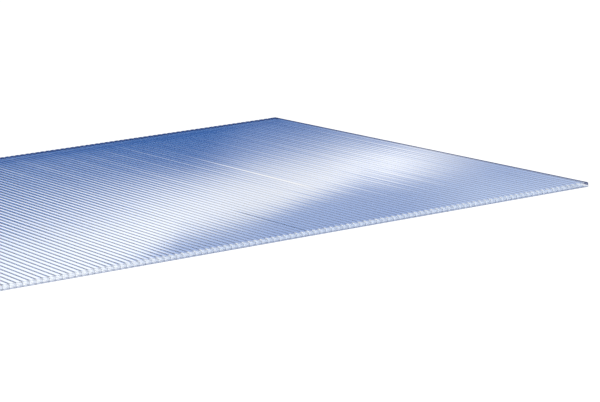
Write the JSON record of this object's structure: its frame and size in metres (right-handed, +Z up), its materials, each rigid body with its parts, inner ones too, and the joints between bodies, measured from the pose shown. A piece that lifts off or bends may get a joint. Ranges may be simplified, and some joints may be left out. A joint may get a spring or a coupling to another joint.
{
  "type": "twin-wall polycarbonate sheet",
  "caption": "Clear twin-wall polycarbonate sheet: two thin skins joined by upright webs into a row of open flutes, for light, insulating glazing.",
  "frame": {"origin": "centre of the bottom face, on the floor that the sheet lies on", "axes": "+X across the flutes, along the sheet's width; +Y along the flutes; +Z up through the thickness"},
  "size_m": [2.1006, 1, 0.008],
  "materials": {
    "clear_polycarbonate": "clear, glossy extruded polycarbonate with a faint blue cast"
  },
  "bodies": {
    "root": {"twin_wall_sheet": "clear_polycarbonate"}
  },
  "joints": []
}
